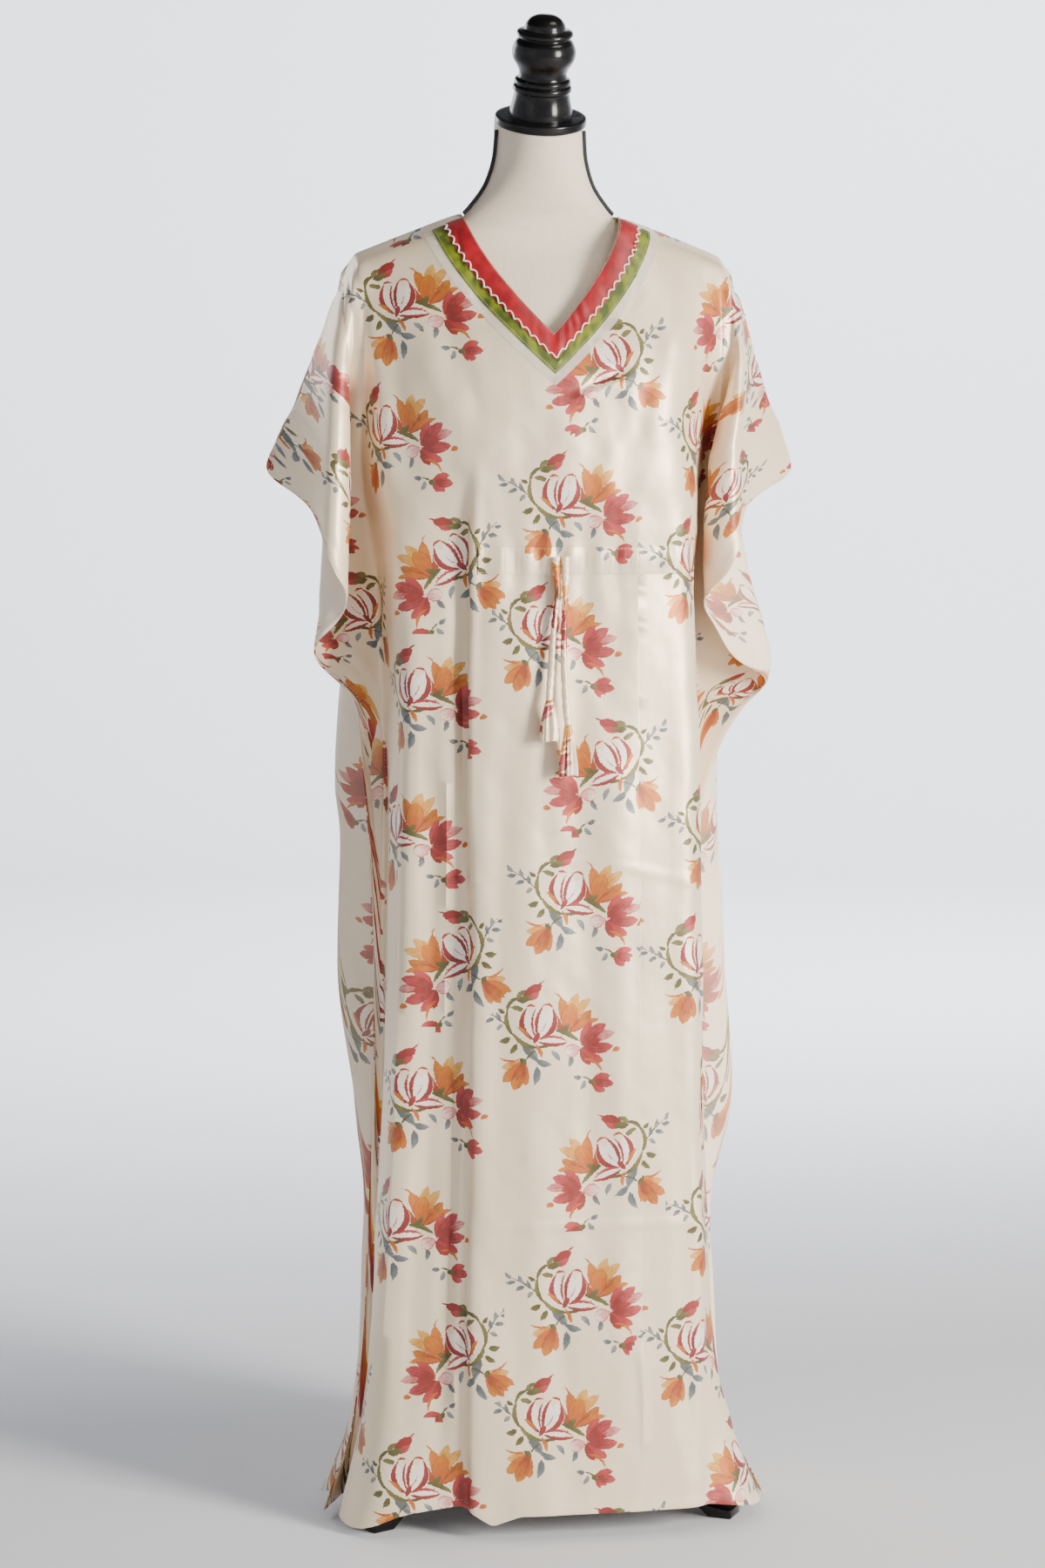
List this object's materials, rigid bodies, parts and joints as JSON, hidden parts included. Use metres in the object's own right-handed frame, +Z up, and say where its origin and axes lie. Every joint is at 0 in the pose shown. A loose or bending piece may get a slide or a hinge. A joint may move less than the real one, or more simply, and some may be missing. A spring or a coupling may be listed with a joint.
{
  "type": "kaftan on a dress form",
  "caption": "Long batwing kaftan with a banded V-neck and a front drawstring, worn by a limbless dress form on a turned wooden stand.",
  "frame": {"origin": "on the floor, under the middle of the whole's box", "axes": "+Z up, -Y out of the kaftan's front, +X to the viewer's right when facing the front"},
  "size_m": [0.5582, 0.434, 1.5709],
  "materials": {
    "front": "printed satin",
    "back": "printed satin",
    "neck_band": "red satin",
    "neck_trim": "olive green satin",
    "neck_band_back": "red satin",
    "neck_trim_back": "olive green satin",
    "waist_casing": "printed satin",
    "drawstring_left": "printed satin",
    "drawstring_right": "printed satin",
    "tassel_left": "printed satin",
    "tassel_right": "printed satin",
    "torso": "plain cream linen",
    "neck_rope_left": "twisted black cord",
    "neck_rope_right": "twisted black cord",
    "neck_cap": "black satin lacquer",
    "finial": "black satin lacquer",
    "pole": "black satin lacquer",
    "hub": "black satin lacquer",
    "leg_left": "black satin lacquer",
    "leg_right": "black satin lacquer",
    "leg_back": "black satin lacquer"
  },
  "bodies": {
    "root": {"front": "front", "back": "back", "neck_band": "neck_band", "neck_trim": "neck_trim", "neck_band_back": "neck_band_back", "neck_trim_back": "neck_trim_back", "waist_casing": "waist_casing", "drawstring_left": "drawstring_left", "drawstring_right": "drawstring_right", "tassel_left": "tassel_left", "tassel_right": "tassel_right", "torso": "torso", "neck_rope_left": "neck_rope_left", "neck_rope_right": "neck_rope_right", "neck_cap": "neck_cap", "finial": "finial", "pole": "pole", "hub": "hub", "leg_left": "leg_left", "leg_right": "leg_right", "leg_back": "leg_back"}
  },
  "joints": []
}
